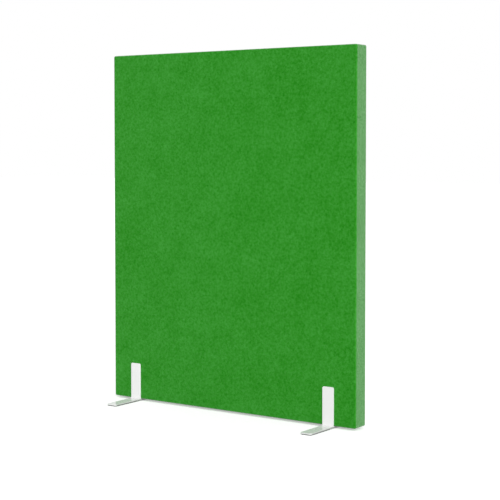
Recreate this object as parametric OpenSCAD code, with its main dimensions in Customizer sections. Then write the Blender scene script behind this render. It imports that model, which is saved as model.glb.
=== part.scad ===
// Free-standing acoustic divider screen: a fabric-covered, timber-framed panel on two flat steel feet.
// Millimetres. +X runs along the panel, -Y is its front, +Z is up. The origin is on the floor,
// under the middle of the panel. Nothing on it moves.

/* [Panel] */
// Width of the covered panel
panel_w = 1200; // [900:10:1800]
// Height of the covered panel, without its feet
panel_h = 1450; // [900:10:1800]
// Radius of the soft edges round the front and rear faces
edge_r = 6; // [4:0.5:10]
// Radius of the panel's four corners, seen from the front
corner_r = 8; // [5:0.5:20]

/* [Cover and filling] */
// Thickness of the felted fabric cover
fabric_t = 1.5; // [1:0.1:2.5]
// Thickness of the wadding sheet on each side of the frame
wadding_t = 12; // [8:1:20]
// Gap left round each absorber slab in its bay
core_gap = 0.3; // [0.2:0.1:0.6]

/* [Timber frame] */
// Depth of the frame timber, front to rear
frame_depth = 48; // [38:1:70]
// Width of the frame timber, seen from the front
rail_w = 34; // [30:1:60]
// Length of the short sides of the two top corner braces
brace_leg = 80; // [60:5:120]
// Height of the foot blocks above the bottom rail
foot_block_h = 120; // [90:5:200]
// How far each foot block runs past the foot towards the middle
foot_block_past = 15; // [5:1:40]
// Diameter of the beech dowels
dowel_d = 8; // [6:1:10]
// Length of the dowels, half of it in each piece
dowel_l = 30; // [20:2:36]
// Distance between the two dowels of a joint
dowel_pitch = 22; // [16:1:26]

/* [Feet] */
// Width of the flat bar that the feet are cut from
bar_w = 50; // [45:1:70]
// Thickness of the flat bar
bar_t = 5; // [4:0.5:8]
// Length of a foot plate, front toe to rear toe
foot_l = 400; // [300:10:600]
// Height of the uprights above the foot plate
upright_h = 150; // [100:5:250]
// Distance from the panel's end to the middle of its foot
foot_inset = 120; // [90:5:250]
// Radius of the toes' corners
toe_r = 10; // [4:1:20]
// Radius of the uprights' top corners
upright_r = 7; // [3:1:15]
// Radius of the dressed weld at the foot of each upright
weld_r = 5; // [3:0.5:8]
// Height of the weld's edge on the foot plate
weld_toe = 0.4; // [0.2:0.1:1]
// Width of the tabs that key the uprights into the foot plate
tab_w = 12; // [8:1:16]
// Distance between the middles of an upright's two tabs
tab_pitch = 28; // [20:1:32]

/* [Floor pads] */
// Thickness of the rubber floor pads
pad_t = 3; // [2:0.5:6]
// How far the pads stay inside the foot plate's edge
pad_inset = 3; // [1:0.5:6]
// How far the pads stop short of the panel's face
pad_stop = 20; // [5:5:60]

/* [Foot screws] */
// Diameter of the foot screws
screw_d = 6; // [5:0.5:8]
// Diameter of their countersunk heads
screw_head_d = 12; // [11:0.5:14]
// Length of the foot screws, heads included
screw_l = 25; // [20:1:30]
// Distance between a foot's two screws
screw_pitch = 28; // [22:1:32]
// Width across the flats of their hexagon sockets
socket_af = 4; // [3:0.5:5]
// Depth of the hexagon sockets
socket_depth = 2.5; // [1.5:0.5:4]
// Outer diameter of the threaded inserts
insert_d = 10; // [9:0.5:13]
// Length of the threaded inserts, flanges included
insert_l = 18; // [12:1:22]
// Diameter of the inserts' flanges
insert_flange_d = 14; // [13.5:0.5:18]
// Thickness of the inserts' flanges
insert_flange_t = 1.2; // [0.8:0.1:2]
// How far the pilot holes run past the inserts
insert_past = 9; // [6:1:12]

/* [Frame screws] */
// Diameter of the wood screws
wood_screw_d = 4.5; // [3.5:0.5:6]
// Diameter of their countersunk heads
wood_head_d = 9; // [8:0.5:12]
// Length of the wood screws, heads included
wood_screw_l = 60; // [50:5:70]
// Length of their points
wood_point = 5; // [3:1:8]
// Distance from a frame corner to the screws in its brace
brace_screw_at = 28; // [22:1:32]
// How far the brace screws stand off the middle of the timber
brace_screw_off = 9; // [5:1:12]

/* [Staples] */
// Width of the staples
staple_w = 10; // [8:1:14]
// Thickness of the staple wire
staple_t = 0.7; // [0.5:0.1:1]
// Width of the staple wire
staple_wire_w = 1.2; // [0.8:0.1:1.6]
// Length of the staples' legs, through fabric and into timber
staple_leg = 10; // [8:1:14]
// Largest distance between staples in a row
staple_pitch = 70; // [40:5:120]
// Distance between the two rows of staples
staple_row_pitch = 28; // [20:2:34]
// Distance from a foot to the nearest staple
staple_clear = 20; // [10:5:40]

/* [Fits] */
// Clearance round a screw, all round its shank
screw_gap = 0.1; // [0.05:0.05:0.3]
// Clearance round a dowel or an insert in timber
wood_gap = 0.05; // [0.05:0.05:0.2]
// Clearance round a tab in its slot
tab_gap = 0.1; // [0.05:0.05:0.3]
// Extra ease of the rounded corners under the fabric
soft_ease = 0.6; // [0.4:0.1:1]

/* [Hidden] */
$fn = 64;
overrun = 1;
left = -1;
right = 1;
front = -1;
rear = 1;

foot_z = pad_t;
base_z = pad_t + bar_t;
panel_t = frame_depth + 2 * (wadding_t + fabric_t);
frame_w = panel_w - 2 * fabric_t;
frame_h = panel_h - 2 * fabric_t;
frame_z = base_z + fabric_t;
frame_top = frame_z + frame_h;
rail_l = frame_w - 2 * rail_w;
mullion_h = frame_h - 2 * rail_w;
middle_z = frame_z + frame_h / 2;
stile_face = frame_w / 2 - rail_w;
bay_w = (rail_l - rail_w) / 2;
bay_h = (mullion_h - rail_w) / 2;
cover_flat = panel_t / 2 - edge_r;
foot_x = panel_w / 2 - foot_inset;
foot_block_x = foot_x - bar_w / 2 - foot_block_past;
foot_block_w = stile_face - foot_block_x;
toe_l = foot_l / 2 - panel_t / 2;
pad_l = toe_l - pad_inset - pad_stop;
staple_reach = foot_x - bar_w / 2 - staple_clear;
staple_gaps = ceil(2 * staple_reach / staple_pitch);
staple_step = 2 * staple_reach / staple_gaps;

// Outlines and shared forms

module rounded_rect(w, h, r) {
    difference() {
        square([w, h], center = true);
        for (x = [-1, 1], y = [-1, 1])
            scale([x, y])
                translate([w / 2 - r, h / 2 - r])
                    difference() {
                        square(r + overrun);
                        circle(r);
                    }
    }
}

// The panel's soft-edged form, drawn in by inset on every side, its corners eased by ease
module panel_form(inset = 0, ease = 0) {
    w = panel_w - 2 * inset;
    t = panel_t - 2 * inset;
    h = panel_h - 2 * inset;
    edge = edge_r - inset + ease;
    corner = corner_r - inset + ease;
    translate([0, 0, base_z + panel_h / 2])
        intersection() {
            linear_extrude(h, center = true) rounded_rect(w, t, edge);
            rotate([90, 0, 0]) linear_extrude(t, center = true) rounded_rect(w, h, corner);
            rotate([90, 0, 90]) linear_extrude(w, center = true) rounded_rect(t, h, edge);
        }
}

module cover_shell() {
    difference() {
        panel_form();
        panel_form(fabric_t);
    }
}

// A block given by its lowest corner and its highest corner
module between(low, high) {
    translate(low) cube(high - low);
}

// Everything inside the fabric is trimmed to this form
module inside_cover() {
    intersection() {
        children();
        panel_form(fabric_t, soft_ease);
    }
}

module timber() {
    color("burlywood") children();
}

// Cover

module face_cover(side) {
    color("forestgreen")
        intersection() {
            cover_shell();
            translate([0, side * (cover_flat + panel_t) / 2, base_z + panel_h / 2])
                cube([panel_w + overrun, panel_t - cover_flat, panel_h + overrun], center = true);
        }
}

module side_cover_band(side) {
    color("forestgreen")
        intersection() {
            cover_shell();
            translate([side * (panel_w / 2 - corner_r / 2 + overrun / 2), 0, base_z + panel_h / 2])
                cube([corner_r + overrun, 2 * cover_flat, panel_h + overrun], center = true);
        }
}

module flat_cover_band(z) {
    translate([0, 0, z + fabric_t / 2])
        cube([panel_w - 2 * corner_r, 2 * cover_flat, fabric_t], center = true);
}

module top_cover_band() {
    color("forestgreen") flat_cover_band(frame_top);
}

module bottom_cover_band() {
    color("forestgreen")
        difference() {
            flat_cover_band(base_z);
            at_foot_screws() cylinder(h = frame_z + overrun, d = insert_flange_d);
            at_staples() staple_legs();
        }
}

// Staples that hold the fabric to the underside of the bottom rail

module at_staples() {
    for (y = [-staple_row_pitch / 2, staple_row_pitch / 2], i = [0 : staple_gaps])
        translate([i * staple_step - staple_reach, y, base_z]) children();
}

module staple_legs() {
    for (x = [-1, 1])
        translate([x * (staple_w - staple_t) / 2, 0, staple_leg / 2])
            cube([staple_t, staple_wire_w, staple_leg], center = true);
}

module cover_staples() {
    color("silver")
        at_staples() {
            staple_legs();
            translate([0, 0, -staple_t / 2])
                cube([staple_w, staple_wire_w, staple_t], center = true);
        }
}

// Wadding and absorber slabs

module wadding(side) {
    color("whitesmoke")
        inside_cover()
            translate([0, side * (frame_depth + wadding_t) / 2, base_z + panel_h / 2])
                cube([frame_w, wadding_t, frame_h], center = true);
}

// Draws an outline seen from the front as a slab as deep as the frame
module slab() {
    translate([0, frame_depth / 2, 0]) rotate([90, 0, 0]) linear_extrude(frame_depth) children();
}

module bay_outline() {
    translate([rail_w / 2 + core_gap, core_gap])
        square([bay_w - 2 * core_gap, bay_h - 2 * core_gap]);
}

module upper_core(side) {
    color("gainsboro")
        slab()
            scale([side, 1])
                translate([0, middle_z + rail_w / 2])
                    difference() {
                        bay_outline();
                        translate([stile_face, bay_h]) brace_outline(brace_leg + 2 * core_gap);
                    }
}

module lower_core(side) {
    color("gainsboro")
        slab()
            scale([side, 1])
                translate([0, frame_z + rail_w])
                    difference() {
                        bay_outline();
                        translate([foot_block_x - core_gap, 0])
                            square([foot_block_w + core_gap, foot_block_h + core_gap]);
                    }
}

// Frame joints

// Two dowels or their holes, along X through the origin
module dowel_pair(gap = 0) {
    for (y = [-dowel_pitch / 2, dowel_pitch / 2])
        translate([0, y, 0])
            rotate([0, 90, 0])
                cylinder(h = dowel_l + 2 * gap, d = dowel_d + 2 * gap, center = true);
}

module at_dowel_joints() {
    for (z = [frame_z + rail_w / 2, middle_z, frame_top - rail_w / 2], side = [left, right])
        translate([side * stile_face, 0, z]) children();
    for (z = [frame_z + rail_w, frame_top - rail_w])
        translate([0, 0, z]) rotate([0, 90, 0]) children();
}

module frame_dowels() {
    color("tan") at_dowel_joints() dowel_pair();
}

// A countersunk wood screw that points along +Z, its head at the origin
module wood_screw(gap = 0) {
    head_h = (wood_head_d - wood_screw_d) / 2;
    point_z = wood_screw_l - wood_point;
    cylinder(h = head_h, d1 = wood_head_d + 2 * gap, d2 = wood_screw_d + 2 * gap);
    cylinder(h = point_z + gap, d = wood_screw_d + 2 * gap);
    translate([0, 0, point_z])
        cylinder(h = wood_point + gap, d1 = wood_screw_d + 2 * gap, d2 = wood_screw_d / 4 + gap);
}

// Screws through a stile into its foot block and its brace, and through the top rail into the brace
module at_frame_screws(side) {
    for (share = [1 / 3, 2 / 3])
        translate([side * frame_w / 2, 0, frame_z + rail_w + share * foot_block_h])
            rotate([0, -90 * side, 0]) children();
    translate([side * frame_w / 2, -brace_screw_off, frame_top - rail_w - brace_screw_at])
        rotate([0, -90 * side, 0]) children();
    translate([side * (stile_face - brace_screw_at), brace_screw_off, frame_top])
        rotate([180, 0, 0]) children();
}

module frame_screws() {
    color("goldenrod") for (side = [left, right]) at_frame_screws(side) wood_screw();
}

// Cuts the dowel and screw holes that a frame piece needs on one side or on both
module jointed(sides = [left, right]) {
    difference() {
        children();
        at_dowel_joints() dowel_pair(wood_gap);
        for (side = sides) at_frame_screws(side) wood_screw(screw_gap);
    }
}

// Frame pieces

module frame_stile(side) {
    timber()
        jointed([side])
            inside_cover()
                translate([side * (stile_face + rail_w / 2), 0, frame_z + frame_h / 2])
                    cube([rail_w, frame_depth, frame_h], center = true);
}

module frame_top_rail() {
    timber()
        jointed()
            translate([0, 0, frame_top - rail_w / 2])
                cube([rail_l, frame_depth, rail_w], center = true);
}

module frame_bottom_rail() {
    timber()
        difference() {
            jointed([])
                translate([0, 0, frame_z + rail_w / 2])
                    cube([rail_l, frame_depth, rail_w], center = true);
            at_foot_screws() insert_hole();
            at_staples() staple_legs();
        }
}

// The mullion and the middle rail cross in a halving joint, each cut to half its depth
module frame_middle_rail() {
    timber()
        jointed([])
            difference() {
                translate([0, 0, middle_z]) cube([rail_l, frame_depth, rail_w], center = true);
                halving(front);
            }
}

module frame_mullion() {
    timber()
        jointed([])
            difference() {
                translate([0, 0, middle_z])
                    cube([rail_w, frame_depth, mullion_h], center = true);
                halving(rear);
            }
}

module halving(side) {
    translate([0, side * (frame_depth / 2 + overrun) / 2, middle_z])
        cube([rail_w, frame_depth / 2 + overrun, rail_w], center = true);
}

// A right-angled corner at the origin with its two legs towards -X and -Y
module brace_outline(leg) {
    polygon([[0, 0], [-leg, 0], [0, -leg]]);
}

module corner_brace(side) {
    timber()
        jointed([side])
            slab()
                scale([side, 1])
                    translate([stile_face, frame_top - rail_w])
                        brace_outline(brace_leg);
}

module foot_block(side) {
    timber()
        jointed([side])
            slab()
                scale([side, 1])
                    translate([foot_block_x, frame_z + rail_w])
                        square([foot_block_w, foot_block_h]);
}

// Foot fasteners

module at_foot_screws(sides = [left, right]) {
    for (side = sides, x = [-screw_pitch / 2, screw_pitch / 2])
        translate([side * foot_x + x, 0, 0]) children();
}

module insert_hole() {
    translate([0, 0, frame_z - overrun]) {
        cylinder(h = insert_flange_t + overrun, d = insert_flange_d + 2 * wood_gap);
        cylinder(h = insert_l + insert_past + overrun, d = insert_d + 2 * wood_gap);
    }
}

module threaded_inserts() {
    color("darkkhaki")
        at_foot_screws()
            translate([0, 0, frame_z])
                difference() {
                    union() {
                        cylinder(h = insert_flange_t, d = insert_flange_d);
                        cylinder(h = insert_l, d = insert_d);
                    }
                    translate([0, 0, -overrun])
                        cylinder(h = insert_l + 2 * overrun, d = screw_d + 2 * screw_gap);
                }
}

// A countersunk screw or its hole, head down, its face flush with the underside of the foot plate
module foot_screw_form(gap = 0) {
    head_h = (screw_head_d - screw_d) / 2;
    translate([0, 0, foot_z]) {
        cylinder(h = head_h, d1 = screw_head_d + 2 * gap, d2 = screw_d + 2 * gap);
        cylinder(h = screw_l, d = screw_d + 2 * gap);
    }
}

module foot_screws() {
    socket_d = socket_af / cos(30);
    color("dimgray")
        at_foot_screws()
            difference() {
                foot_screw_form();
                translate([0, 0, foot_z - overrun])
                    cylinder(h = socket_depth + overrun, d = socket_d, $fn = 6);
            }
}

// Feet: flat bar, the uprights keyed into the plate by tabs and welded on their outer side

module foot_plate(side) {
    color("white")
        difference() {
            translate([side * foot_x, 0, foot_z])
                linear_extrude(bar_t) rounded_rect(bar_w, foot_l, toe_r);
            at_foot_screws([side]) foot_screw_form(screw_gap);
            for (end = [front, rear]) at_upright(side, end) upright_tabs(tab_gap);
        }
}

// Stands an upright drawn at the origin, inner face on the XZ plane, against the panel's face
module at_upright(side, end) {
    translate([side * foot_x, end * panel_t / 2, base_z])
        mirror([0, end == front ? 1 : 0, 0]) children();
}

module upright_tabs(gap = 0) {
    for (x = [-tab_pitch / 2, tab_pitch / 2])
        translate([x, bar_t / 2, -bar_t / 2])
            cube([tab_w + 2 * gap, bar_t + 2 * gap, bar_t + 2 * gap], center = true);
}

// The bar and its weld in section, seen along the panel
module upright_section() {
    square([bar_t, upright_h]);
    translate([bar_t, 0])
        difference() {
            square([weld_r, weld_r + weld_toe]);
            translate([weld_r, weld_r + weld_toe]) circle(weld_r);
        }
}

module upright_outline() {
    translate([0, (upright_h - upright_r) / 2])
        rounded_rect(bar_w, upright_h + upright_r, upright_r);
}

module upright(side, end) {
    color("white")
        at_upright(side, end) {
            intersection() {
                rotate([90, 0, 90])
                    linear_extrude(bar_w, center = true) upright_section();
                translate([0, bar_t + weld_r + overrun, 0])
                    rotate([90, 0, 0])
                        linear_extrude(bar_t + weld_r + 2 * overrun) upright_outline();
            }
            upright_tabs();
        }
}

module floor_pad(side, end) {
    color("dimgray")
        translate([side * foot_x, end * (foot_l / 2 - pad_inset - pad_l / 2), 0])
            linear_extrude(pad_t)
                rounded_rect(bar_w - 2 * pad_inset, pad_l, toe_r - pad_inset);
}

face_cover(front);  // front_cover
face_cover(rear);  // rear_cover
side_cover_band(left);  // left_cover_band
side_cover_band(right);  // right_cover_band
top_cover_band();
bottom_cover_band();
cover_staples();
wadding(front);  // front_wadding
wadding(rear);  // rear_wadding
upper_core(left);  // upper_left_core
upper_core(right);  // upper_right_core
lower_core(left);  // lower_left_core
lower_core(right);  // lower_right_core
frame_stile(left);  // frame_left_stile
frame_stile(right);  // frame_right_stile
frame_top_rail();
frame_middle_rail();
frame_bottom_rail();
frame_mullion();
corner_brace(left);  // left_corner_brace
corner_brace(right);  // right_corner_brace
foot_block(left);  // left_foot_block
foot_block(right);  // right_foot_block
frame_dowels();
frame_screws();
threaded_inserts();
foot_screws();
foot_plate(left);  // left_foot_plate
upright(left, front);  // left_front_upright
upright(left, rear);  // left_rear_upright
floor_pad(left, front);  // left_front_pad
floor_pad(left, rear);  // left_rear_pad
foot_plate(right);  // right_foot_plate
upright(right, front);  // right_front_upright
upright(right, rear);  // right_rear_upright
floor_pad(right, front);  // right_front_pad
floor_pad(right, rear);  // right_rear_pad
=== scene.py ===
from math import radians

import bpy
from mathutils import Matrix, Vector, noise


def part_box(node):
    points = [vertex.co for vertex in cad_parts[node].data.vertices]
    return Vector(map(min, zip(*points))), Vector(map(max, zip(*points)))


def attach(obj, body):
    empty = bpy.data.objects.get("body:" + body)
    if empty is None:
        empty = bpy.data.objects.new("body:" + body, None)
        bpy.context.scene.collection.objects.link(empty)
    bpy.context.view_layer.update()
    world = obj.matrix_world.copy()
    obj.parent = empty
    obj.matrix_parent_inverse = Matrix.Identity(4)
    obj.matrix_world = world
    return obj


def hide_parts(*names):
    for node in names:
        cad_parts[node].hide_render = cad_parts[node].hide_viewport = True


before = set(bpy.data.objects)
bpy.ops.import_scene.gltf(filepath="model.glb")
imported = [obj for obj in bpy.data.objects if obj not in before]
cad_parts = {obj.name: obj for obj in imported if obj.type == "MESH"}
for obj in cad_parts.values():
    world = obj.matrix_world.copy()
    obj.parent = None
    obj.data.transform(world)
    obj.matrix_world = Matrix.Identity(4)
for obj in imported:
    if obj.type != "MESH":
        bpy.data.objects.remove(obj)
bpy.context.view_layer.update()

# Free-standing acoustic divider screen: a felt-covered, wadded timber frame on two flat steel feet.
# Metres, in the CAD frame: +X along the panel, -Y out of its front, +Z up, the floor at zero.

# Feet: flat bar, on rubber pads, with two uprights each
PAD_T = 0.003
BAR_W = 0.050
BAR_T = 0.005
FOOT_X = 0.48
FOOT_L = 0.400
TOE_Y = FOOT_L / 2
TOE_R = 0.010
UPRIGHT_H = 0.150
UPRIGHT_R = 0.007
PLATE_LOW = PAD_T
PLATE_TOP = PLATE_LOW + BAR_T
UPRIGHT_TOP = PLATE_TOP + UPRIGHT_H
WELD_R = 0.005
WELD_TOE = 0.0004
TAB_W = 0.012
TAB_X = 0.014
SCREW_X = 0.014
SCREW_HOLE_R = 0.0031
SINK_DEPTH = 0.003
EDGE_EASE = 0.0007

# Panel, which stands on the foot plates
PANEL_W = 1.2
PANEL_H = 1.45
PANEL_T = 0.075
PANEL_BOTTOM = PLATE_TOP
PANEL_TOP = PANEL_BOTTOM + PANEL_H
FACE_Y = PANEL_T / 2
ARRIS_R = 0.006
SEAM_Y = FACE_Y - ARRIS_R
CORNER_R = 0.008
FELT_T = 0.0015
FELT_FOLD = 0.0006
FELT_HOLE_R = 0.007
STRIP_EASE = 0.0005
WADDING_T = 0.012
WADDING_BACK_R = 0.0008
SOFT_EASE = 0.0006
SLAB_EASE = 0.003
SLAB_GAP = 0.0003

# Swells of the sheets: depth, distance from an edge at which it is full, number to a metre, and the seed
FELT_DIP = 0.0006
WADDING_DIP = 0.0007
DIP_REACH = 0.08
SWELLS_ACROSS = 3.1
SWELLS_UP = 2.3
SWELL_SEED = 7.7

# Squares that the sheets are divided into, so that they can dip
FELT_PITCH = 0.050
BAND_PITCH = 0.100
WADDING_PITCH = 0.075

# Workshop: the least distance that counts, how nearly parallel to an axis an edge is that runs along it, a
# cutter's reach past its piece, and a drilled hole's sides
HAIR = 0.0001
PARALLEL = 0.999
OVERRUN = 0.001
HOLE_SIDES = 48

# Photograph's camera, solved from the edges of the panel and the feet
CAMERA_AT = (3.1834, -4.3422, 1.0767)
CAMERA_TURN = 0.6198
CAMERA_TILT = 0.0441
CAMERA_LENS = 96.31
CAMERA_SENSOR = 36
CAMERA_SHIFT_Y = -0.09
CAMERA_REACH = 100

# Studio: the lamp's height, turn and spread in degrees, and the levels at which a colour renders as written
LAMP_HEIGHT = 20
LAMP_TURN = 54
LAMP_SPREAD = 40
LAMP_LEVEL = 1.5
ROOM_LEVEL = 0.66
FLOOR_SIZE = 60
FLOOR_GLOW = 0.42
CONTACT_REACH = 0.006


# Workshop helpers

def put_tools_down():
    bpy.ops.object.select_all(action="DESELECT")


def work_on(piece):
    """Makes piece the only selected object and the active one."""
    put_tools_down()
    piece.select_set(True)
    bpy.context.view_layer.objects.active = piece


def block(name, low, high):
    """A block of stock between its lowest and highest corners, its place in its mesh."""
    put_tools_down()
    low = Vector(low)
    high = Vector(high)
    bpy.ops.mesh.primitive_cube_add(size=1, location=(low + high) / 2)
    piece = bpy.context.active_object
    piece.scale = high - low
    piece.name = name
    piece.data.name = name
    bpy.ops.object.transform_apply(location=True, rotation=True, scale=True)
    return piece


def choose(piece, part, wanted):
    """Opens piece for editing, with the edges or faces selected whose corners wanted agrees to."""
    work_on(piece)
    bpy.ops.object.mode_set(mode="EDIT")
    bpy.ops.mesh.select_mode(type=part)
    bpy.ops.mesh.select_all(action="DESELECT")
    bpy.ops.object.mode_set(mode="OBJECT")
    points = piece.data.vertices
    for item in (piece.data.edges if part == "EDGE" else piece.data.polygons):
        item.select = wanted([points[i].co for i in item.vertices])
    bpy.ops.object.mode_set(mode="EDIT")


def close_up(piece):
    bpy.ops.object.mode_set(mode="OBJECT")
    return piece


def runs_along(corners, axis):
    line = corners[1] - corners[0]
    return abs(line[axis]) > PARALLEL * line.length


def round_edges(piece, wanted, radius, steps):
    choose(piece, "EDGE", wanted)
    bpy.ops.mesh.bevel(
        offset=radius, segments=steps, profile=0.5, affect="EDGES", clamp_overlap=False
    )
    return close_up(piece)


def pull(piece, wanted, by):
    """Pulls new material out of the chosen faces."""
    choose(piece, "FACE", wanted)
    bpy.ops.mesh.extrude_region_move(TRANSFORM_OT_translate={"value": by})
    return close_up(piece)


def saw(piece, at, across, drop_far=False, drop_near=False, fill=False):
    """Cuts piece along a plane. What lies on the far or near side of it may be dropped."""
    work_on(piece)
    bpy.ops.object.mode_set(mode="EDIT")
    bpy.ops.mesh.select_all(action="SELECT")
    bpy.ops.mesh.bisect(
        plane_co=at, plane_no=across, use_fill=fill, clear_outer=drop_far, clear_inner=drop_near
    )
    return close_up(piece)


def saw_grid(piece, pitch):
    """Cuts a panel-sized piece into squares, so that its faces can be shaped."""
    columns = round(PANEL_W / pitch)
    rows = round(PANEL_H / pitch)
    for i in range(1, columns):
        saw(piece, (i * PANEL_W / columns - PANEL_W / 2, 0, 0), (1, 0, 0))
    for i in range(1, rows):
        saw(piece, (0, 0, PANEL_BOTTOM + i * PANEL_H / rows), (0, 0, 1))
    return piece


def finish_with(piece, kind, **settings):
    """Adds a modifier and applies it."""
    work_on(piece)
    modifier = piece.modifiers.new(kind.title(), kind)
    for setting, value in settings.items():
        setattr(modifier, setting, value)
    bpy.ops.object.modifier_apply(modifier=modifier.name)
    return piece


def ease(piece, radius, steps=3, angle=50):
    """Rounds every edge that is sharper than angle."""
    return finish_with(
        piece, "BEVEL", width=radius, segments=steps, limit_method="ANGLE", angle_limit=radians(angle)
    )


def smooth(piece, angle=40):
    """Shades round edges smooth and keeps the large faces between them flat."""
    work_on(piece)
    bpy.ops.object.shade_smooth_by_angle(angle=radians(angle))
    return finish_with(piece, "WEIGHTED_NORMAL", keep_sharp=True)


def cut_out(piece, cutter):
    finish_with(piece, "BOOLEAN", operation="DIFFERENCE", solver="EXACT", object=cutter)
    bpy.data.objects.remove(cutter)
    return piece


def drill(piece, at_x, at_y, low, high, radius, low_radius=None):
    """Drills an upright hole, tapered where its lower end is wider."""
    put_tools_down()
    place = (at_x, at_y, (low + high) / 2)
    if low_radius:
        bpy.ops.mesh.primitive_cone_add(
            vertices=HOLE_SIDES, radius1=low_radius, radius2=radius, depth=high - low, location=place
        )
    else:
        bpy.ops.mesh.primitive_cylinder_add(
            vertices=HOLE_SIDES, radius=radius, depth=high - low, location=place
        )
    return cut_out(piece, bpy.context.active_object)


def mirrored_copy(piece, name, across_x=False, across_y=False):
    """A copy with its own mesh, mirrored across the panel's middle planes."""
    twin = piece.copy()
    twin.data = piece.data.copy()
    twin.name = name
    twin.data.name = name
    bpy.context.collection.objects.link(twin)
    turn = (-1 if across_x else 1, -1 if across_y else 1)
    for vertex in twin.data.vertices:
        vertex.co.x *= turn[0]
        vertex.co.y *= turn[1]
    if turn[0] * turn[1] < 0:
        work_on(twin)
        bpy.ops.object.mode_set(mode="EDIT")
        bpy.ops.mesh.select_all(action="SELECT")
        bpy.ops.mesh.flip_normals()
        close_up(twin)
    return twin


def dress(piece, finish, slot, *nodes):
    """Gives a finished piece its material and body, and hides the CAD nodes that it stands for. The slot is
    not used.
    """
    piece.data.materials.clear()
    piece.data.materials.append(finish)
    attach(piece, "root")
    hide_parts(*nodes)
    return piece


# Material helpers

def paint(code):
    """Linear colour of an sRGB hex value."""
    parts = [int(code[i:i + 2], 16) / 255 for i in (1, 3, 5)]
    return [p / 12.92 if p <= 0.04045 else ((p + 0.055) / 1.055) ** 2.4 for p in parts] + [1]


def per_metre(size_mm):
    """Scale of a pattern whose features are this many millimetres apart."""
    return 1000 / size_mm


def new_finish(name):
    finish = bpy.data.materials.new(name)
    finish.use_nodes = True
    finish.node_tree.nodes.clear()
    return finish


def add_node(finish, kind, sockets=(), **settings):
    """Adds a node to a material or world, with its settings and with values or links for its sockets."""
    made = finish.node_tree.nodes.new(kind)
    for setting, value in settings.items():
        setattr(made, setting, value)
    for socket, value in dict(sockets).items():
        if isinstance(value, bpy.types.NodeSocket):
            finish.node_tree.links.new(value, made.inputs[socket])
        else:
            made.inputs[socket].default_value = value
    return made


# Sockets by number: a Mix node has its factor at 0. A colour Mix has its colours at 6 and 7 and its result
# at output 2, and a vector Mix has its vectors at 4 and 5 and its result at output 1. The other nodes that
# are told by number, Math and the shader mixes, have theirs at 0, 1 and 2.

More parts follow.
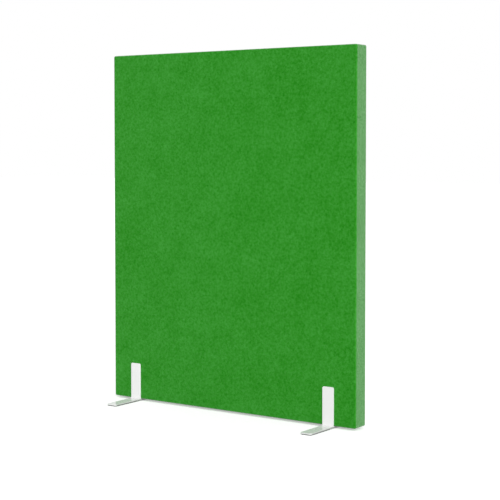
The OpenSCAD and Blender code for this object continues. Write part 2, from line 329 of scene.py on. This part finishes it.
def wool_felt():
    # Woollen melange felt, carded and fulled: short fibres in close greens lie in every direction, so the
    # face is matt and mottled in clusters of 5 to 8 mm, and a pale bloom of loose fibre ends shows at a flat
    # angle.
    felt = new_finish("wool_felt_fulled")
    place = add_node(felt, "ShaderNodeTexCoord").outputs["Object"]
    # The cloth is the same all round, so its web is turned a quarter where it covers the ends and the top,
    # from this far in
    where = add_node(felt, "ShaderNodeSeparateXYZ", {"Vector": place})
    turn_at = 0.3 * ARRIS_R
    web = place
    for axis, middle, half, quarter_turn in (
        ("X", 0, PANEL_W / 2, (0, 0, radians(90))),
        ("Z", PANEL_BOTTOM + PANEL_H / 2, PANEL_H / 2, (radians(90), 0, 0)),
    ):
        on_face = add_node(felt, "ShaderNodeMath", {
            0: where.outputs[axis], 1: middle, 2: half - turn_at,
        }, operation="COMPARE")
        turned = add_node(felt, "ShaderNodeMapping", {"Vector": place, "Rotation": quarter_turn})
        web = add_node(felt, "ShaderNodeMix", {
            0: on_face.outputs[0], 4: turned.outputs[0], 5: web,
        }, data_type="VECTOR").outputs[1]
    # Single fibres are 0.03 mm thick. They are drawn as locks of 0.7 by 7 mm, so that they show.
    locks = None
    for turn in (15, 75, 135):
        lie = add_node(felt, "ShaderNodeMapping", {"Vector": web, "Rotation": (0, radians(turn), 0)})
        comb = add_node(felt, "ShaderNodeMapping", {"Vector": lie.outputs[0], "Scale": (1, 1, 0.1)})
        lock = add_node(felt, "ShaderNodeTexNoise", {
            "Vector": comb.outputs[0], "Scale": per_metre(0.7), "Detail": 1.0, "Distortion": 0.8,
        })
        if locks:
            lock = add_node(felt, "ShaderNodeMath", {0: locks, 1: lock.outputs[0]}, operation="MAXIMUM")
        locks = lock.outputs[0]
    clusters = add_node(felt, "ShaderNodeTexNoise", {
        "Vector": place, "Scale": per_metre(10), "Detail": 1.0, "Roughness": 0.5,
    })
    broad = add_node(felt, "ShaderNodeTexNoise", {
        "Vector": place, "Scale": per_metre(110), "Detail": 4.0, "Roughness": 0.65,
    })
    # The weights give the mottle its measured depth, and the level sets its mean midway between the greens
    lock_weight = 4.5
    cluster_weight = 1.7
    broad_weight = 1.0
    level = -3.58
    mottle = add_node(felt, "ShaderNodeMath", {
        0: clusters.outputs["Fac"], 1: cluster_weight, 2: level,
    }, operation="MULTIPLY_ADD")
    drift = add_node(felt, "ShaderNodeMath", {
        0: broad.outputs["Fac"], 1: broad_weight, 2: mottle.outputs[0],
    }, operation="MULTIPLY_ADD")
    shade = add_node(felt, "ShaderNodeMath", {
        0: locks, 1: lock_weight, 2: drift.outputs[0],
    }, operation="MULTIPLY_ADD")
    # Beyond the mix's two colours there are still paler locks and deeper gaps between them
    melange = add_node(felt, "ShaderNodeMix", {
        0: shade.outputs[0], 6: paint("#218A08"), 7: paint("#3BA032"),
    }, data_type="RGBA", clamp_factor=False, clamp_result=True)
    # The arrises, from face to seam, are painted paler in patches: a painted sheen that carries the side's
    # pale bloom round the edge
    sheen_from = FACE_Y - 0.15 * ARRIS_R
    sheen_full = FACE_Y - 0.5 * ARRIS_R
    depth = add_node(felt, "ShaderNodeMath", {0: where.outputs["Y"]}, operation="ABSOLUTE")
    outside_seam = add_node(felt, "ShaderNodeMath", {
        0: depth.outputs[0], 1: SEAM_Y,
    }, operation="GREATER_THAN")
    arris_sheen_ramp = add_node(felt, "ShaderNodeMapRange", {
        "Value": depth.outputs[0], "From Min": sheen_from, "From Max": sheen_full, "To Max": 0.4,
    })
    patches = add_node(felt, "ShaderNodeMath", {
        0: clusters.outputs["Fac"], 1: outside_seam.outputs[0],
    }, operation="MULTIPLY")
    painted_arris_sheen = add_node(felt, "ShaderNodeMath", {
        0: arris_sheen_ramp.outputs[0], 1: patches.outputs[0],
    }, operation="MULTIPLY")
    # The pale green is the painted sheen on the arrises
    colour = add_node(felt, "ShaderNodeMix", {
        0: painted_arris_sheen.outputs[0], 6: melange.outputs[2], 7: paint("#6DB565"),
    }, data_type="RGBA")
    # Loose ends lie flat where the face is seen square on, and stand against the eye at a flat angle
    slant = add_node(felt, "ShaderNodeLayerWeight", {"Blend": 0.5})
    bloom = add_node(felt, "ShaderNodeMapRange", {
        "Value": slant.outputs["Facing"], "From Min": 0.26, "From Max": 0.48, "To Min": 0.22, "To Max": 0.87,
    })
    # The pale locks are the loose ones, so they carry up to half as much bloom again as the deep ones
    loose_least = 0.8
    loose_more = 0.4
    loose = add_node(felt, "ShaderNodeMath", {
        0: shade.outputs[0], 1: loose_more, 2: loose_least,
    }, operation="MULTIPLY_ADD")
    fuzz = add_node(felt, "ShaderNodeMath", {
        0: bloom.outputs[0], 1: loose.outputs[0],
    }, operation="MULTIPLY", use_clamp=True)
    nap = add_node(felt, "ShaderNodeBump", {"Height": locks, "Strength": 0.6, "Distance": 0.0012})
    cloth = add_node(felt, "ShaderNodeBsdfPrincipled", {
        "Base Color": colour.outputs[2], "Roughness": 0.95, "Specular IOR Level": 0.05,
        "Sheen Weight": fuzz.outputs[0], "Sheen Roughness": 0.5, "Normal": nap.outputs[0],
    })
    add_node(felt, "ShaderNodeOutputMaterial", {"Surface": cloth.outputs[0]})
    return felt


def polyester_wadding():
    # Needled polyester wadding: white crimped fibres, punched together every 4 mm, soft and without gloss.
    wadding = new_finish("polyester_wadding_needled")
    place = add_node(wadding, "ShaderNodeTexCoord").outputs["Object"]
    punches = add_node(wadding, "ShaderNodeTexVoronoi", {
        "Vector": place, "Scale": per_metre(4), "Randomness": 0.8,
    })
    fibres = add_node(wadding, "ShaderNodeTexNoise", {
        "Vector": place, "Scale": per_metre(1.4), "Detail": 3.0, "Roughness": 0.7, "Distortion": 2.0,
    })
    colour = add_node(wadding, "ShaderNodeMix", {
        0: fibres.outputs["Fac"], 6: paint("#CFCFC9"), 7: paint("#F0F0EC"),
    }, data_type="RGBA")
    punch_weight = 0.7
    loft = add_node(wadding, "ShaderNodeMath", {
        0: punches.outputs["Distance"], 1: punch_weight, 2: fibres.outputs["Fac"],
    }, operation="MULTIPLY_ADD")
    nap = add_node(wadding, "ShaderNodeBump", {"Height": loft.outputs[0], "Strength": 0.6, "Distance": 0.001})
    cloth = add_node(wadding, "ShaderNodeBsdfPrincipled", {
        "Base Color": colour.outputs[2], "Roughness": 0.95, "Specular IOR Level": 0.1,
        "Sheen Weight": 0.5, "Sheen Roughness": 0.5, "Normal": nap.outputs[0],
    })
    add_node(wadding, "ShaderNodeOutputMaterial", {"Surface": cloth.outputs[0]})
    return wadding


def fibre_slab():
    # Bonded polyester fibre slab: pressed recycled fibre, grey-white with darker stray fibres, open and matt.
    slab = new_finish("polyester_fibre_bonded")
    place = add_node(slab, "ShaderNodeTexCoord").outputs["Object"]
    fibres = add_node(slab, "ShaderNodeTexNoise", {
        "Vector": place, "Scale": per_metre(2.4), "Detail": 4.0, "Roughness": 0.75, "Distortion": 2.5,
    })
    strays = add_node(slab, "ShaderNodeTexNoise", {
        "Vector": place, "Scale": per_metre(6), "Detail": 2.0, "Roughness": 0.8, "Distortion": 6.0,
    })
    plain = add_node(slab, "ShaderNodeMix", {
        0: fibres.outputs["Fac"], 6: paint("#B4B4AF"), 7: paint("#DCDCD8"),
    }, data_type="RGBA")
    where = add_node(slab, "ShaderNodeMapRange", {
        "Value": strays.outputs["Fac"], "From Min": 0.60, "From Max": 0.68,
    })
    colour = add_node(slab, "ShaderNodeMix", {
        0: where.outputs[0], 6: plain.outputs[2], 7: paint("#7E8288"),
    }, data_type="RGBA")
    nap = add_node(slab, "ShaderNodeBump", {
        "Height": fibres.outputs["Fac"], "Strength": 0.8, "Distance": 0.0015,
    })
    board = add_node(slab, "ShaderNodeBsdfPrincipled", {
        "Base Color": colour.outputs[2], "Roughness": 0.95, "Specular IOR Level": 0.1,
        "Normal": nap.outputs[0],
    })
    add_node(slab, "ShaderNodeOutputMaterial", {"Surface": board.outputs[0]})
    return slab


def white_lacquer():
    # Flat steel bar, stoved in white gloss lacquer: hard clear reflections with a trace of orange peel. Below
    # the plates' top, their edges are painted grey in patches: painted shade, deep along the long edges and
    # weak at the toes.
    lacquer = new_finish("white_lacquer_stoved")
    place = add_node(lacquer, "ShaderNodeTexCoord").outputs["Object"]
    where = add_node(lacquer, "ShaderNodeSeparateXYZ", {"Vector": place})
    toe_from = TOE_Y - 0.014
    toe_full = TOE_Y - 0.005
    rim_from = PLATE_TOP - 0.0002
    rim_full = PLATE_TOP - 0.0012
    along_plate = add_node(lacquer, "ShaderNodeMath", {0: where.outputs["Y"]}, operation="ABSOLUTE")
    painted_shade_depth = add_node(lacquer, "ShaderNodeMapRange", {
        "Value": along_plate.outputs[0], "From Min": toe_from, "From Max": toe_full,
        "To Min": 0.65, "To Max": 0.1,
    })
    painted_edge_shade = add_node(lacquer, "ShaderNodeMapRange", {
        "Value": where.outputs["Z"], "From Min": rim_from, "From Max": rim_full,
        "To Max": painted_shade_depth.outputs[0],
    })
    shade_patches = add_node(lacquer, "ShaderNodeTexNoise", {"Vector": place, "Scale": per_metre(4), "Detail": 3.0})
    # Noise makes the painted shade up to a fifth stronger or weaker, in patches
    shade_patch_weight = 0.4
    patchy_shade = add_node(lacquer, "ShaderNodeMath", {
        0: shade_patches.outputs["Fac"], 1: shade_patch_weight, 2: -shade_patch_weight / 2,
    }, operation="MULTIPLY_ADD")
    painted_shade = add_node(lacquer, "ShaderNodeMath", {
        0: painted_edge_shade.outputs[0], 1: patchy_shade.outputs[0], 2: painted_edge_shade.outputs[0],
    }, operation="MULTIPLY_ADD", use_clamp=True)
    # The grey is the painted shade on the plates' lower edges
    colour = add_node(lacquer, "ShaderNodeMix", {
        0: painted_shade.outputs[0], 6: paint("#F8F8F8"), 7: paint("#8E8E8C"),
    }, data_type="RGBA")
    peel = add_node(lacquer, "ShaderNodeTexNoise", {"Vector": place, "Scale": per_metre(2.4), "Detail": 1.0})
    height = add_node(lacquer, "ShaderNodeBump", {
        "Height": peel.outputs["Fac"], "Strength": 0.08, "Distance": 0.0001,
    })
    gloss = add_node(lacquer, "ShaderNodeMapRange", {
        "Value": peel.outputs["Fac"], "To Min": 0.05, "To Max": 0.09,
    })
    coat = add_node(lacquer, "ShaderNodeBsdfPrincipled", {
        "Base Color": colour.outputs[2], "Roughness": gloss.outputs[0], "Specular IOR Level": 0.22,
        "Normal": height.outputs[0],
    })
    add_node(lacquer, "ShaderNodeOutputMaterial", {"Surface": coat.outputs[0]})
    return lacquer


def planed_pine(name, grain_turn):
    # Planed pine: pale sapwood with resin-brown growth lines about 4.5 mm apart, drawn out along the grain.
    pine = new_finish(name)
    place = add_node(pine, "ShaderNodeTexCoord").outputs["Object"]
    # The mapping turns the grain onto Z and squeezes it there, so that lines run long
    grain = add_node(pine, "ShaderNodeMapping", {"Vector": place, "Rotation": grain_turn})
    long_grain = add_node(pine, "ShaderNodeMapping", {"Vector": grain.outputs[0], "Scale": (1, 1, 0.06)})
    # At scale 1 a wave texture's slanting bands are 0.363 m apart
    band_pitch = 0.363
    rings = add_node(pine, "ShaderNodeTexWave", {
        "Vector": long_grain.outputs[0], "Scale": band_pitch * per_metre(4.5), "Distortion": 5.0,
        "Detail": 2.0, "Detail Scale": 0.6, "Detail Roughness": 0.6,
    }, wave_type="BANDS", bands_direction="DIAGONAL", wave_profile="SAW")
    pores = add_node(pine, "ShaderNodeTexNoise", {
        "Vector": long_grain.outputs[0], "Scale": per_metre(1.1), "Detail": 2.0, "Roughness": 0.6,
    })
    late_wood = add_node(pine, "ShaderNodeMapRange", {
        "Value": rings.outputs["Fac"], "From Min": 0.45, "From Max": 1.0, "To Max": 0.75,
    })
    lined = add_node(pine, "ShaderNodeMix", {
        0: late_wood.outputs[0], 6: paint("#DDBD8B"), 7: paint("#B98A50"),
    }, data_type="RGBA")
    flecks = add_node(pine, "ShaderNodeMapRange", {
        "Value": pores.outputs["Fac"], "From Min": 0.5, "From Max": 0.8, "To Max": 0.4,
    })
    colour = add_node(pine, "ShaderNodeMix", {
        0: flecks.outputs[0], 6: lined.outputs[2], 7: paint("#A87C48"),
    }, data_type="RGBA")
    dullness = add_node(pine, "ShaderNodeMapRange", {
        "Value": rings.outputs["Fac"], "To Min": 0.62, "To Max": 0.5,
    })
    relief = add_node(pine, "ShaderNodeBump", {
        "Height": pores.outputs["Fac"], "Strength": 0.3, "Distance": 0.0003,
    })
    wood = add_node(pine, "ShaderNodeBsdfPrincipled", {
        "Base Color": colour.outputs[2], "Roughness": dullness.outputs[0], "Normal": relief.outputs[0],
    })
    add_node(pine, "ShaderNodeOutputMaterial", {"Surface": wood.outputs[0]})
    return pine


def fluted_beech():
    # Beech dowel rod: even pinkish wood with short dark rays, sanded, with glue dulling it in patches.
    beech = new_finish("beech_dowel_rod")
    place = add_node(beech, "ShaderNodeTexCoord").outputs["Object"]
    rays = add_node(beech, "ShaderNodeTexNoise", {
        "Vector": place, "Scale": per_metre(1.1), "Detail": 2.0, "Roughness": 0.7,
    })
    patches = add_node(beech, "ShaderNodeTexNoise", {"Vector": place, "Scale": per_metre(8), "Detail": 1.0})
    colour = add_node(beech, "ShaderNodeMix", {
        0: rays.outputs["Fac"], 6: paint("#A67C58"), 7: paint("#D3A983"),
    }, data_type="RGBA")
    dullness = add_node(beech, "ShaderNodeMapRange", {
        "Value": patches.outputs["Fac"], "To Min": 0.4, "To Max": 0.7,
    })
    relief = add_node(beech, "ShaderNodeBump", {
        "Height": rays.outputs["Fac"], "Strength": 0.3, "Distance": 0.0002,
    })
    wood = add_node(beech, "ShaderNodeBsdfPrincipled", {
        "Base Color": colour.outputs[2], "Roughness": dullness.outputs[0], "Normal": relief.outputs[0],
    })
    add_node(beech, "ShaderNodeOutputMaterial", {"Surface": wood.outputs[0]})
    return beech


def plated_steel(name, light, dark, rough):
    # Zinc-plated steel: a thin electroplated layer with a fine cloudy crystal, blue-white or passivated
    # yellow.
    steel = new_finish(name)
    place = add_node(steel, "ShaderNodeTexCoord").outputs["Object"]
    cloud = add_node(steel, "ShaderNodeTexNoise", {
        "Vector": place, "Scale": per_metre(1.7), "Detail": 3.0, "Roughness": 0.6,
    })
    colour = add_node(steel, "ShaderNodeMix", {
        0: cloud.outputs["Fac"], 6: paint(dark), 7: paint(light),
    }, data_type="RGBA")
    dullness = add_node(steel, "ShaderNodeMapRange", {
        "Value": cloud.outputs["Fac"], "To Min": rough - 0.08, "To Max": rough + 0.1,
    })
    plating = add_node(steel, "ShaderNodeBsdfPrincipled", {
        "Base Color": colour.outputs[2], "Metallic": 1.0, "Roughness": dullness.outputs[0],
    })
    add_node(steel, "ShaderNodeOutputMaterial", {"Surface": plating.outputs[0]})
    return steel


def pad_rubber():
    # Black rubber sheet, punched to shape: dull charcoal with a fine cloth grain from its mould.
    rubber = new_finish("black_rubber_sheet")
    place = add_node(rubber, "ShaderNodeTexCoord").outputs["Object"]
    grain = add_node(rubber, "ShaderNodeTexNoise", {
        "Vector": place, "Scale": per_metre(0.8), "Detail": 2.0, "Roughness": 0.6,
    })
    colour = add_node(rubber, "ShaderNodeMix", {
        0: grain.outputs["Fac"], 6: paint("#1E1E1E"), 7: paint("#3A3A3A"),
    }, data_type="RGBA")
    dullness = add_node(rubber, "ShaderNodeMapRange", {
        "Value": grain.outputs["Fac"], "To Min": 0.68, "To Max": 0.85,
    })
    relief = add_node(rubber, "ShaderNodeBump", {
        "Height": grain.outputs["Fac"], "Strength": 0.4, "Distance": 0.0002,
    })
    sheet = add_node(rubber, "ShaderNodeBsdfPrincipled", {
        "Base Color": colour.outputs[2], "Roughness": dullness.outputs[0], "Normal": relief.outputs[0],
    })
    add_node(rubber, "ShaderNodeOutputMaterial", {"Surface": sheet.outputs[0]})
    return rubber


# Camera and light

def place_camera():
    put_tools_down()
    bpy.ops.object.camera_add(location=CAMERA_AT, rotation=(radians(90) - CAMERA_TILT, 0, CAMERA_TURN))
    camera = bpy.context.active_object
    camera.name = "photo_camera"
    camera.data.sensor_width = CAMERA_SENSOR
    camera.data.lens = CAMERA_LENS
    camera.data.shift_y = CAMERA_SHIFT_Y
    camera.data.clip_end = CAMERA_REACH
    bpy.context.scene.camera = camera
    bpy.context.scene.view_settings.view_transform = "Standard"


def light_studio():
    # A white room: even light from all round, and a broad soft lamp low on the right.
    put_tools_down()
    bpy.ops.object.light_add(type="SUN", rotation=(radians(90 - LAMP_HEIGHT), 0, radians(LAMP_TURN)))
    lamp = bpy.context.active_object
    lamp.name = "soft_right_lamp"
    lamp.data.energy = LAMP_LEVEL
    lamp.data.angle = radians(LAMP_SPREAD)
    room = bpy.data.worlds.new("white_studio")
    bpy.context.scene.world = room
    room.use_nodes = True
    room.node_tree.nodes.clear()
    ray = add_node(room, "ShaderNodeLightPath")
    direct = add_node(room, "ShaderNodeMath", {
        0: ray.outputs["Is Camera Ray"], 1: ray.outputs["Is Glossy Ray"],
    }, operation="MAXIMUM")
    seen = add_node(room, "ShaderNodeMath", {
        0: direct.outputs[0], 1: ray.outputs["Is Transmission Ray"],
    }, operation="MAXIMUM")
    around = add_node(room, "ShaderNodeBackground", {"Color": (1, 1, 1, 1), "Strength": ROOM_LEVEL})
    backdrop = add_node(room, "ShaderNodeBackground", {"Color": (1, 1, 1, 1), "Strength": 1.0})
    mixed = add_node(room, "ShaderNodeMixShader", {
        0: seen.outputs[0], 1: around.outputs[0], 2: backdrop.outputs[0],
    })
    add_node(room, "ShaderNodeOutputWorld", {"Surface": mixed.outputs[0]})


def lay_floor():
    # White studio floor. To the camera it is the white backdrop, and keeps the screen's own shadow.
    put_tools_down()
    bpy.ops.mesh.primitive_plane_add(size=FLOOR_SIZE)
    floor = bpy.context.active_object
    floor.name = "studio_floor"
    white = new_finish("white_studio_floor")
    ray = add_node(white, "ShaderNodeLightPath")
    plain = add_node(white, "ShaderNodeBsdfDiffuse", {"Color": (0.8, 0.8, 0.8, 1)})
    lit = add_node(white, "ShaderNodeBsdfDiffuse", {"Color": (0.95, 0.95, 0.95, 1)})
    # In the few millimetres under a foot plate the floor has its full contact shadow
    open_air = add_node(white, "ShaderNodeAmbientOcclusion", {"Distance": CONTACT_REACH})
    level = add_node(white, "ShaderNodeMath", {
        0: open_air.outputs["AO"], 1: FLOOR_GLOW,
    }, operation="MULTIPLY")
    glow = add_node(white, "ShaderNodeEmission", {"Color": (1, 1, 1, 1), "Strength": level.outputs[0]})
    shown = add_node(white, "ShaderNodeAddShader", {0: lit.outputs[0], 1: glow.outputs[0]})
    seen = add_node(white, "ShaderNodeMath", {
        0: ray.outputs["Is Camera Ray"], 1: ray.outputs["Is Glossy Ray"],
    }, operation="MAXIMUM")
    mixed = add_node(white, "ShaderNodeMixShader", {
        0: seen.outputs[0], 1: plain.outputs[0], 2: shown.outputs[0],
    })
    add_node(white, "ShaderNodeOutputMaterial", {"Surface": mixed.outputs[0]})
    floor.data.materials.append(white)


# Felt cover and wadding

def panel_form(name):
    """The panel's closed outer form, its four corners rounded as seen from the front."""
    form = block(name, (-PANEL_W / 2, -FACE_Y, PANEL_BOTTOM), (PANEL_W / 2, FACE_Y, PANEL_TOP))
    return round_edges(form, lambda c: runs_along(c, 1), CORNER_R, steps=6)


def settle(sheet, side, face_y, depth):
    """Lets a sheet dip by up to depth in long swells, but not near its edges or the feet."""
    for vertex in sheet.data.vertices:
        point = vertex.co
        if abs(point.y) < face_y - HAIR:
            continue
        from_edge = min(
            PANEL_W / 2 - abs(point.x), PANEL_TOP - point.z, point.z - PANEL_BOTTOM
        )
        from_foot = max(abs(abs(point.x) - FOOT_X) - BAR_W / 2, point.z - UPRIGHT_TOP)
        free = min(1, max(0, min(from_edge, from_foot) / DIP_REACH))
        swell = noise.noise(Vector((point.x * SWELLS_ACROSS, side * SWELL_SEED, point.z * SWELLS_UP)))
        point.y -= side * depth * free * (0.5 + 0.5 * swell)
    return sheet


def felt_face(name, side):
    """One large face of the cover, turned round the arris as far as the seam."""
    sheet = panel_form(name)
    round_edges(sheet, lambda c: all(p.y * side > FACE_Y - HAIR for p in c), ARRIS_R, steps=6)
    saw(sheet, (0, side * SEAM_Y, 0), (0, side, 0), drop_near=True)
    saw_grid(sheet, FELT_PITCH)
    settle(sheet, side, FACE_Y, FELT_DIP)
    finish_with(sheet, "SOLIDIFY", thickness=FELT_T, offset=-1, use_even_offset=True)
    # The raw edge is folded in at the seam, which leaves a fine groove
    ease(sheet, FELT_FOLD, angle=60)
    return smooth(sheet, angle=50)


def felt_band(name):
    """The band that wraps up one end, over the top and down the other end."""
    sheet = panel_form(name)
    saw(sheet, (0, -SEAM_Y, 0), (0, -1, 0), drop_far=True)
    saw(sheet, (0, SEAM_Y, 0), (0, 1, 0), drop_far=True)
    choose(sheet, "FACE", lambda c: all(p.z < PANEL_BOTTOM + HAIR for p in c))
    bpy.ops.mesh.delete(type="FACE")
    close_up(sheet)
    saw_grid(sheet, BAND_PITCH)
    finish_with(sheet, "SOLIDIFY", thickness=FELT_T, offset=-1, use_even_offset=True)
    ease(sheet, FELT_FOLD, angle=60)
    return smooth(sheet, angle=50)


def felt_bottom(name):
    """The strip under the bottom rail, pierced for the foot screws."""
    half = PANEL_W / 2 - CORNER_R
    strip = block(name, (-half, -SEAM_Y, PANEL_BOTTOM), (half, SEAM_Y, PANEL_BOTTOM + FELT_T))
    for foot in (-FOOT_X, FOOT_X):
        for x in (foot - SCREW_X, foot + SCREW_X):
            drill(strip, x, 0, PANEL_BOTTOM - OVERRUN, PANEL_BOTTOM + FELT_T + OVERRUN, FELT_HOLE_R)
    ease(strip, STRIP_EASE, steps=2, angle=60)
    return smooth(strip, angle=50)


def wadding_sheet(name, side):
    """A sheet of wadding over one side of the frame, its outer edges pressed round by the felt."""
    outer = FACE_Y - FELT_T
    inner = outer - WADDING_T
    half = PANEL_W / 2 - FELT_T
    low = (-half, min(side * inner, side * outer), PANEL_BOTTOM + FELT_T)
    high = (half, max(side * inner, side * outer), PANEL_TOP - FELT_T)
    sheet = block(name, low, high)
    corner_r = CORNER_R - FELT_T + SOFT_EASE
    arris_r = ARRIS_R - FELT_T + SOFT_EASE
    round_edges(sheet, lambda c: runs_along(c, 1), corner_r, steps=6)
    round_edges(sheet, lambda c: all(p.y * side > outer - HAIR for p in c), arris_r, steps=5)
    round_edges(sheet, lambda c: all(p.y * side < inner + HAIR for p in c), WADDING_BACK_R, steps=2)
    saw_grid(sheet, WADDING_PITCH)
    settle(sheet, side, outer, WADDING_DIP)
    return smooth(sheet, angle=50)


def absorber_slab(name, node):
    """A slab of bonded fibre in its bay, with the room for the corner brace or foot block cut out of it."""
    low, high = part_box(node)
    slab = block(name, low, high)
    if low.x > 0:
        side, outer = 1, high.x
    else:
        side, outer = -1, low.x
    if "upper" in node:
        brace_low, brace_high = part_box("right_corner_brace")
        cut = brace_high.x - brace_low.x + SLAB_GAP
        saw(slab, (outer - side * cut, 0, high.z), (side, 0, 1), drop_far=True, fill=True)
    else:
        block_low, block_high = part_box("right_foot_block")
        reach = (side * (block_low.x - SLAB_GAP), outer + side * OVERRUN)
        notch = block(
            "foot_block_notch",
            (min(reach), low.y - OVERRUN, low.z - OVERRUN),
            (max(reach), high.y + OVERRUN, block_high.z + SLAB_GAP),
        )
        cut_out(slab, notch)
    ease(slab, SLAB_EASE, angle=40)
    return smooth(slab, angle=50)


# Steel feet

def foot_plate(name, at_x):
    """Flat bar with round toes, slotted for the uprights' tabs and countersunk from below for its screws."""
    plate = block(name, (at_x - BAR_W / 2, -TOE_Y, PLATE_LOW), (at_x + BAR_W / 2, TOE_Y, PLATE_TOP))
    round_edges(plate, lambda c: runs_along(c, 2), TOE_R, steps=12)
    for level in (PLATE_LOW, PLATE_TOP):
        round_edges(plate, lambda c: all(abs(p.z - level) < HAIR for p in c), EDGE_EASE, steps=3)
    # The countersink's sides slope at 45 degrees, so it widens by as much as it goes down
    sink_top = PLATE_LOW + SINK_DEPTH
    sink_low = PLATE_LOW - OVERRUN
    for x in (at_x - SCREW_X, at_x + SCREW_X):
        drill(plate, x, 0, sink_low, PLATE_TOP + OVERRUN, SCREW_HOLE_R)
        drill(plate, x, 0, sink_low, sink_top, SCREW_HOLE_R, SCREW_HOLE_R + sink_top - sink_low)
    half = Vector((TAB_W / 2 + HAIR, BAR_T / 2 + HAIR, BAR_T / 2 + OVERRUN))
    for x in (at_x - TAB_X, at_x + TAB_X):
        for y in (-FACE_Y - BAR_T / 2, FACE_Y + BAR_T / 2):
            middle = Vector((x, y, PLATE_LOW + BAR_T / 2))
            cut_out(plate, block("tab_slot", middle - half, middle + half))
    return smooth(plate)


def foot_upright(name):
    """The right foot's front upright, with its dressed weld and the two tabs that key into the plate."""
    face = -FACE_Y - BAR_T
    foot = PLATE_TOP
    left = FOOT_X - BAR_W / 2
    bar = block(name, (left, face, foot), (left + BAR_W, -FACE_Y, UPRIGHT_TOP))
    round_edges(bar, lambda c: runs_along(c, 1) and c[0].z > foot + HAIR, UPRIGHT_R, steps=10)
    for y in (face, -FACE_Y):
        round_edges(
            bar,
            lambda c: all(abs(p.y - y) < HAIR for p in c) and max(p.z for p in c) > foot + HAIR,
            EDGE_EASE,
            steps=3,
        )
    saw(bar, (0, 0, foot + WELD_TOE), (0, 0, 1))
    pull(
        bar,
        lambda c: all(p.y < face + HAIR and p.z < foot + WELD_TOE + HAIR for p in c),
        (0, -WELD_R, 0),
    )
    round_edges(
        bar,
        lambda c: runs_along(c, 0) and all(
            abs(p.y - face) < HAIR / 2 and abs(p.z - foot - WELD_TOE) < HAIR / 2 for p in c
        ),
        WELD_R - HAIR / 2,
        steps=8,
    )
    for tab in (FOOT_X - TAB_X, FOOT_X + TAB_X):
        saw(bar, (tab - TAB_W / 2, 0, 0), (1, 0, 0))
        saw(bar, (tab + TAB_W / 2, 0, 0), (1, 0, 0))
    pull(
        bar,
        lambda c: all(
            p.z < foot + HAIR / 2 and p.y > face - HAIR / 2
            and abs(abs(p.x - FOOT_X) - TAB_X) < TAB_W / 2 + HAIR / 2 for p in c
        ),
        (0, 0, -BAR_T),
    )
    return smooth(bar)


# The screen

put_tools_down()
place_camera()
light_studio()
lay_floor()

felt = wool_felt()
front = dress(felt_face("felt_front", -1), felt, "cover_fabric", "front_cover")
rear = dress(felt_face("felt_rear", 1), felt, "cover_fabric", "rear_cover")
band = dress(
    felt_band("felt_band"), felt, "cover_fabric", "left_cover_band", "right_cover_band", "top_cover_band"
)
bottom = dress(felt_bottom("felt_bottom"), felt, "cover_fabric", "bottom_cover_band")

wadding = polyester_wadding()
front_wadding = dress(wadding_sheet("wadding_front", -1), wadding, "wadding_felt", "front_wadding")
rear_wadding = dress(wadding_sheet("wadding_rear", 1), wadding, "wadding_felt", "rear_wadding")

slab_finish = fibre_slab()
for bay in ("upper_left", "upper_right", "lower_left", "lower_right"):
    slab = absorber_slab(bay + "_slab", bay + "_core")
    dress(slab, slab_finish, "absorber_fibre", bay + "_core")

lacquer = white_lacquer()
for side, at_x in (("left", -FOOT_X), ("right", FOOT_X)):
    plate = foot_plate(side + "_plate", at_x)
    dress(plate, lacquer, "white_lacquer", side + "_foot_plate")
first = foot_upright("right_front_bar")
uprights = {
    "right_front": first,
    "right_rear": mirrored_copy(first, "right_rear_bar", across_y=True),
    "left_front": mirrored_copy(first, "left_front_bar", across_x=True),
    "left_rear": mirrored_copy(first, "left_rear_bar", across_x=True, across_y=True),
}
for place, bar in uprights.items():
    dress(bar, lacquer, "white_lacquer", place + "_upright")

pine_upright = planed_pine("pine_planed_upright", (0, 0, 0))
pine_level = planed_pine("pine_planed_level", (0, radians(90), 0))
beech = fluted_beech()
zinc = plated_steel("steel_zinc_bright", "#C4C7CC", "#9EA2A8", 0.3)
yellow = plated_steel("steel_zinc_yellow", "#D8BC78", "#B08E4C", 0.35)
rubber = pad_rubber()
# These keep their CAD solids
CARRIED_OVER = {
    "frame_left_stile": pine_upright,
    "frame_right_stile": pine_upright,
    "frame_top_rail": pine_level,
    "frame_middle_rail": pine_level,
    "frame_bottom_rail": pine_level,
    "frame_mullion": pine_upright,
    "left_corner_brace": pine_level,
    "right_corner_brace": pine_level,
    "left_foot_block": pine_upright,
    "right_foot_block": pine_upright,
    "frame_dowels": beech,
    "frame_screws": yellow,
    "threaded_inserts": yellow,
    "foot_screws": zinc,
    "cover_staples": zinc,
    "left_front_pad": rubber,
    "left_rear_pad": rubber,
    "right_front_pad": rubber,
    "right_rear_pad": rubber,
}
for node, finish in CARRIED_OVER.items():
    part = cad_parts[node]
    part.data.materials.clear()
    part.data.materials.append(finish)
